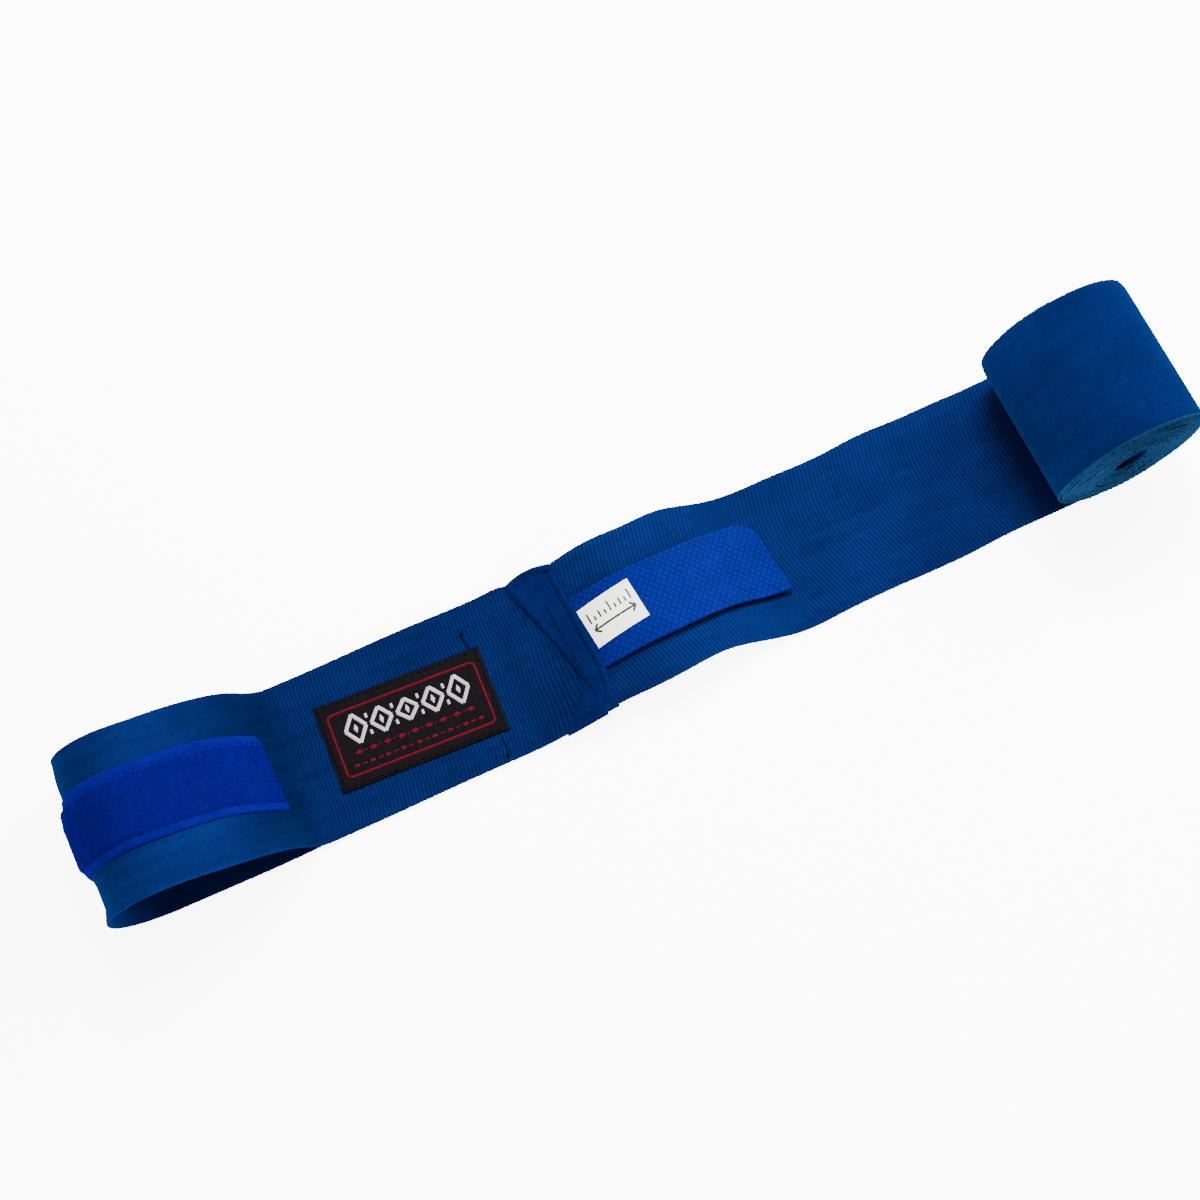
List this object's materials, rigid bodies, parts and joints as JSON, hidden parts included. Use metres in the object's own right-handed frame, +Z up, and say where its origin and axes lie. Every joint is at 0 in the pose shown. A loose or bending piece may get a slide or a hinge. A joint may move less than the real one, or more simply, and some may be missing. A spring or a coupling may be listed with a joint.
{
  "type": "boxing hand wrap",
  "caption": "Elastic cotton hand wrap, partly unrolled: roll with thumb loop, closure end folded over with loop tape, label, hem and free hook tab.",
  "frame": {"origin": "middle of the whole part's underside, on the table", "axes": "+X along the strap from the fold toward the roll, +Y across the strap, +Z up from the table"},
  "size_m": [0.3606, 0.057, 0.0504],
  "materials": {
    "strap_cloth": "matt woven elastic cotton with cross ribs",
    "loop_pile": "brushed nylon pile",
    "hook_tape": "smooth woven nylon, slight sheen, small embossed diamonds",
    "label_black": "matt black woven label",
    "red_yarn": "red woven yarn",
    "sticker_paper": "white printed paper",
    "seam_thread": "dark blue polyester thread"
  },
  "bodies": {
    "run": {"strap_run": "strap_cloth", "strap_lead": "strap_cloth"},
    "fold_1": {"strap_fold_1": "strap_cloth", "loop_tape_1": "loop_pile"},
    "fold_2": {"strap_fold_2": "strap_cloth", "loop_tape_2": "loop_pile"},
    "fold_3": {"strap_fold_3": "strap_cloth", "loop_tape_3": "loop_pile"},
    "fold_4": {"strap_fold_4": "strap_cloth", "loop_tape_4": "loop_pile"},
    "fold_5": {"strap_fold_5": "strap_cloth", "loop_tape_5": "loop_pile"},
    "fold_6": {"strap_fold_6": "strap_cloth", "loop_tape_6": "loop_pile"},
    "slope": {"strap_slope": "strap_cloth", "loop_tape_end": "loop_pile"},
    "flap": {"strap_flap": "strap_cloth", "hem_fold": "strap_cloth", "hem_seam": "seam_thread", "corner_seam": "seam_thread", "woven_label": "label_black", "label_frame": "red_yarn", "label_seam": "seam_thread", "thread_end_far": "seam_thread", "thread_end_near": "seam_thread", "hook_tape_sewn_end": "hook_tape"},
    "tab": {"hook_tape_tab": "hook_tape", "hook_field": "hook_tape", "size_sticker": "sticker_paper"},
    "roll_shell": {"roll_outer_turn": "strap_cloth"},
    "roll_core": {"roll_coil": "strap_cloth", "thumb_loop": "strap_cloth", "thumb_loop_tack": "seam_thread"}
  },
  "joints": [
    {"name": "fold_turn_1", "type": "hinge", "parent": "run", "child": "fold_1", "pos_m": [-0.16544, 0.00218, 0.0003], "axis": [0, -1, 0], "range_deg": [0, 33]},
    {"name": "fold_turn_2", "type": "hinge", "parent": "fold_1", "child": "fold_2", "pos_m": [-0.17408, 0.00239, 0.00591], "axis": [0, -1, 0], "range_deg": [0, 33]},
    {"name": "fold_turn_3", "type": "hinge", "parent": "fold_2", "child": "fold_3", "pos_m": [-0.17827, 0.00249, 0.01532], "axis": [0, -1, 0], "range_deg": [0, 33]},
    {"name": "fold_turn_4", "type": "hinge", "parent": "fold_3", "child": "fold_4", "pos_m": [-0.17666, 0.00245, 0.02549], "axis": [0, -1, 0], "range_deg": [0, 33]},
    {"name": "fold_turn_5", "type": "hinge", "parent": "fold_4", "child": "fold_5", "pos_m": [-0.16977, 0.00228, 0.03315], "axis": [0, -1, 0], "range_deg": [0, 33]},
    {"name": "fold_turn_6", "type": "hinge", "parent": "fold_5", "child": "fold_6", "pos_m": [-0.15982, 0.00204, 0.03581], "axis": [0, -1, 0], "range_deg": [0, 33]},
    {"name": "fold_turn_7", "type": "hinge", "parent": "fold_6", "child": "slope", "pos_m": [-0.1408, 0.00159, 0.02963], "axis": [0, -1, 0], "range_deg": [0, 33]},
    {"name": "fold_foot", "type": "hinge", "parent": "slope", "child": "flap", "pos_m": [-0.11785, 0.00104, 0.0013], "axis": [0, -1, 0], "range_deg": [-51, 0]},
    {"name": "tab_hinge", "type": "hinge", "parent": "flap", "child": "tab", "pos_m": [-0.01734, -0.00199, 0.0096], "axis": [0, -1, 0], "range_deg": [0, 165]},
    {"name": "roll_travel", "type": "slide", "parent": "run", "child": "roll_shell", "axis": [1, 0, 0], "range_m": [-0.06, 0], "deforming": ["strap_lead"]},
    {"name": "roll_turn", "type": "hinge", "parent": "roll_shell", "child": "roll_core", "pos_m": [0.15506, -0.00349, 0.02545], "axis": [0, 1, 0], "range_deg": [-136.1, 0]}
  ],
  "couplings": [
    {"joint": "fold_turn_2", "follows": "fold_turn_1", "ratio": 1},
    {"joint": "fold_turn_3", "follows": "fold_turn_1", "ratio": 1},
    {"joint": "fold_turn_4", "follows": "fold_turn_1", "ratio": 1},
    {"joint": "fold_turn_5", "follows": "fold_turn_1", "ratio": 1},
    {"joint": "fold_turn_6", "follows": "fold_turn_1", "ratio": 1},
    {"joint": "fold_turn_7", "follows": "fold_turn_1", "ratio": 1},
    {"joint": "fold_foot", "follows": "fold_turn_1", "ratio": -1.5455},
    {"joint": "roll_turn", "follows": "roll_travel", "rad_per_m": 39.293}
  ]
}
